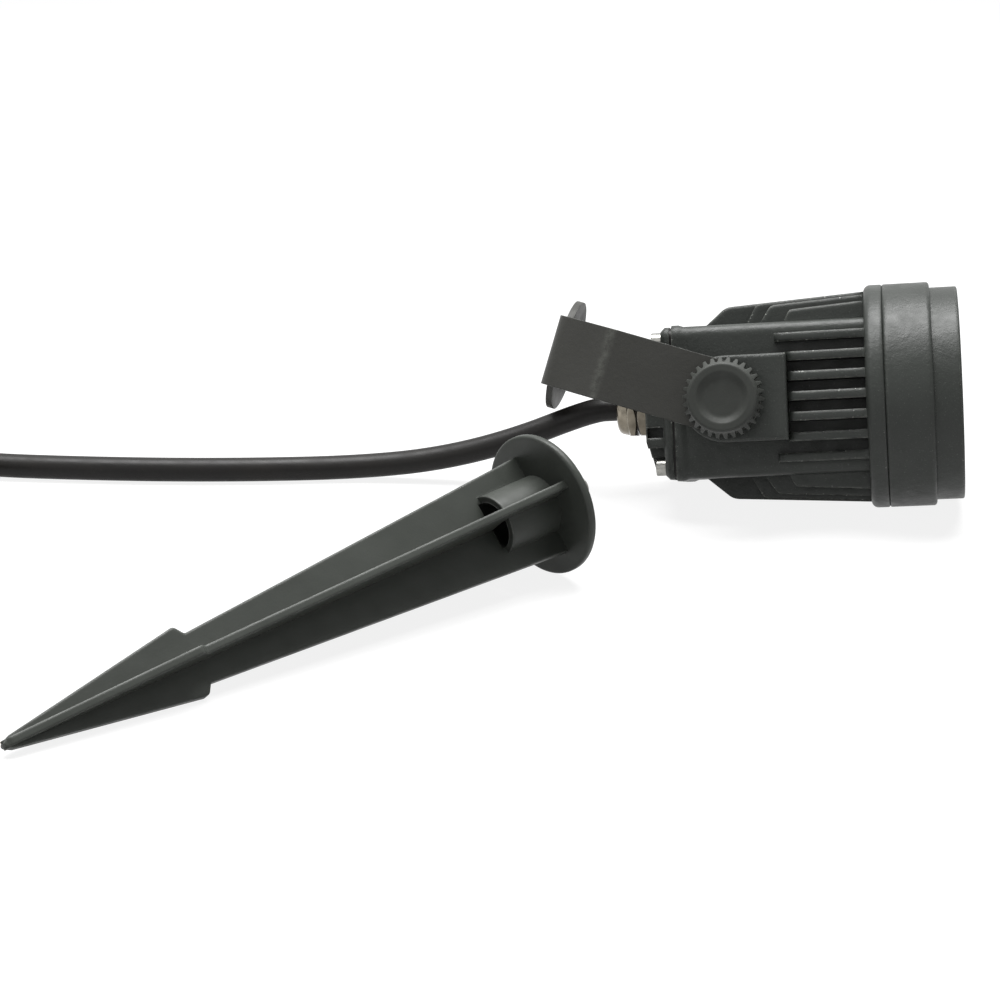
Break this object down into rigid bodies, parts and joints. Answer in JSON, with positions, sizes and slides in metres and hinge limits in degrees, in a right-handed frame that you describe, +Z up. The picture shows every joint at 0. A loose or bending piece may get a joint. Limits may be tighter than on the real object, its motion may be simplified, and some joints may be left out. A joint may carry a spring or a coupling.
{
  "type": "garden spike spotlight",
  "caption": "Finned cast spotlight head with a tilting bracket and clamping knobs, its cord in a gland, laid beside the barbed ground spike that bolts to the bracket.",
  "frame": {"origin": "on the table, below the middle of the lamp and its spike's footprint, cord left out", "axes": "+X is the way the beam points in plan (the nose is up by about 5.5 degrees), +Y the side away from the spike, +Z up"},
  "size_m": [0.3851, 0.2524, 0.0673],
  "materials": {
    "cast_paint": "matte grey-green powder coat",
    "strip_paint": "matte dark grey coat on steel strip",
    "nickel": "satin nickel plate",
    "stainless": "bright stainless steel",
    "black_rubber": "matte black rubber",
    "clear_glass": "clear toughened glass",
    "reflector_skin": "bright metallised plastic",
    "led_yellow": "phosphor yellow",
    "board_white": "white solder mask on aluminium",
    "board_green": "green solder mask",
    "component_black": "moulded black",
    "thermal_grey": "soft silicone sheet",
    "knob_plastic": "matte glass-filled nylon",
    "spike_plastic": "matte moulded nylon",
    "wire_cover": "coloured core insulation",
    "ferrule_metal": "tinned copper sleeve",
    "tie_plastic": "black nylon"
  },
  "bodies": {
    "head": {"housing": "cast_paint", "bezel_ring": "cast_paint", "front_glass": "clear_glass", "glass_gasket": "black_rubber", "flange_seal": "black_rubber", "reflector": "reflector_skin", "led_cob": "led_yellow", "led_board": "board_white", "thermal_pad": "thermal_grey", "board_screws": "stainless", "driver_board": "board_green", "driver_parts": "component_black", "inner_leads": "wire_cover", "rear_cover": "cast_paint", "cover_gasket": "black_rubber", "cover_screws": "stainless", "gland_body": "nickel", "gland_ring": "black_rubber", "gland_seal": "black_rubber", "gland_nut": "nickel", "power_cord": "black_rubber", "cord_coil": "black_rubber", "cord_tie": "tie_plastic", "cord_cores": "wire_cover", "core_ferrules": "ferrule_metal"},
    "bracket": {"bracket": "strip_paint"},
    "near_washer": {"knob_washer_near": "stainless"},
    "near_knob": {"knob_near": "knob_plastic", "knob_stud_near": "stainless"},
    "far_washer": {"knob_washer_far": "stainless"},
    "far_knob": {"knob_far": "knob_plastic", "knob_stud_far": "stainless"},
    "spike": {"spike": "spike_plastic", "spike_bolt": "stainless", "spike_washer": "stainless", "spike_nut": "stainless"}
  },
  "joints": [
    {"name": "bracket_tilt", "type": "hinge", "parent": "head", "child": "bracket", "pos_m": [0.04318, 0.08203, 0.02883], "axis": [0.0317, 0.9441, -0.3282], "range_deg": [-0.5, 100]},
    {"name": "near_washer_travel", "type": "slide", "parent": "head", "child": "near_washer", "axis": [-0.0317, -0.9441, 0.3282], "range_m": [0, 0.00501]},
    {"name": "near_knob_turn", "type": "hinge", "parent": "near_washer", "child": "near_knob", "pos_m": [0.04318, 0.08203, 0.02883], "axis": [-0.0317, -0.9441, 0.3282], "range_deg": [0, 1800]},
    {"name": "far_washer_travel", "type": "slide", "parent": "head", "child": "far_washer", "axis": [0.0317, 0.9441, -0.3282], "range_m": [0, 0.00501]},
    {"name": "far_knob_turn", "type": "hinge", "parent": "far_washer", "child": "far_knob", "pos_m": [0.04318, 0.08203, 0.02883], "axis": [0.0317, 0.9441, -0.3282], "range_deg": [0, 1800]},
    {"name": "spike_lift", "type": "slide", "parent": "head", "child": "spike", "axis": [0, 0, 1], "range_m": [0, 0.15]}
  ],
  "couplings": [
    {"joint": "near_washer_travel", "follows": "near_knob_turn", "m_per_rad": 0.00015915},
    {"joint": "far_washer_travel", "follows": "far_knob_turn", "m_per_rad": 0.00015915}
  ]
}
